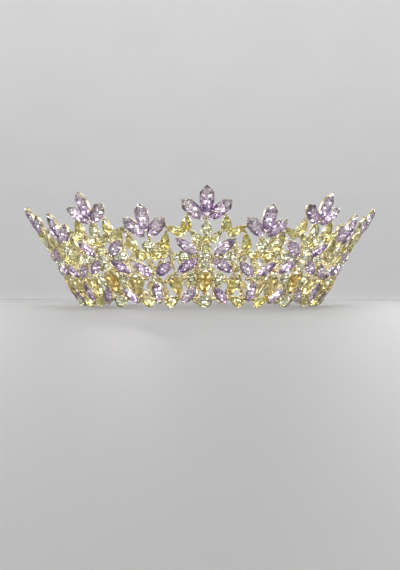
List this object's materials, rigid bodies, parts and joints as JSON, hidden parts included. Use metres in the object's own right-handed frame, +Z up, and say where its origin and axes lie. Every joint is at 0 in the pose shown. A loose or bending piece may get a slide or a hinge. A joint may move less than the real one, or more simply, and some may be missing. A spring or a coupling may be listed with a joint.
{
  "type": "bridal crown",
  "caption": "Full-round flared bridal crown of claw-set glass navettes, pears and round stones on a soldered gold-coloured metal frame, with tall and low leaf-shaped finials.",
  "frame": {"origin": "centre of the crown's axis on the plane that the lowest settings stand on", "axes": "+Z up along the crown's axis, -Y towards the front tall motif, +X to the right of someone who looks at the front"},
  "size_m": [0.1992, 0.2072, 0.0577],
  "materials": {
    "gold_metal": "polished light gold plating",
    "lilac_glass": "faceted, foil-backed lilac glass with gold claws",
    "champagne_glass": "faceted, foil-backed champagne and clear glass with gold claws"
  },
  "bodies": {
    "root": {"rim_ring": "gold_metal", "frame": "gold_metal", "upper_band": "champagne_glass", "trefoil_a_01": "lilac_glass", "trefoil_a_02": "lilac_glass", "trefoil_a_03": "lilac_glass", "trefoil_a_04": "lilac_glass", "trefoil_a_05": "lilac_glass", "trefoil_a_06": "lilac_glass", "trefoil_a_07": "lilac_glass", "trefoil_a_08": "lilac_glass", "trefoil_a_09": "lilac_glass", "trefoil_a_10": "lilac_glass", "trefoil_b_01": "lilac_glass", "trefoil_b_02": "lilac_glass", "trefoil_b_03": "lilac_glass", "trefoil_b_04": "lilac_glass", "trefoil_b_05": "lilac_glass", "trefoil_b_06": "lilac_glass", "trefoil_b_07": "lilac_glass", "trefoil_b_08": "lilac_glass", "trefoil_b_09": "lilac_glass", "trefoil_b_10": "lilac_glass", "star_01": "lilac_glass", "star_02": "lilac_glass", "star_03": "lilac_glass", "star_04": "lilac_glass", "star_05": "lilac_glass", "star_06": "lilac_glass", "star_07": "lilac_glass", "star_08": "lilac_glass", "star_09": "lilac_glass", "star_10": "lilac_glass", "wye_01": "lilac_glass", "wye_02": "lilac_glass", "wye_03": "lilac_glass", "wye_04": "lilac_glass", "wye_05": "lilac_glass", "wye_06": "lilac_glass", "wye_07": "lilac_glass", "wye_08": "lilac_glass", "wye_09": "lilac_glass", "wye_10": "lilac_glass", "rim_01": "champagne_glass", "rim_02": "champagne_glass", "rim_03": "champagne_glass", "rim_04": "champagne_glass", "rim_05": "champagne_glass", "rim_06": "champagne_glass", "rim_07": "champagne_glass", "rim_08": "champagne_glass", "rim_09": "champagne_glass", "rim_10": "champagne_glass"}
  },
  "joints": []
}
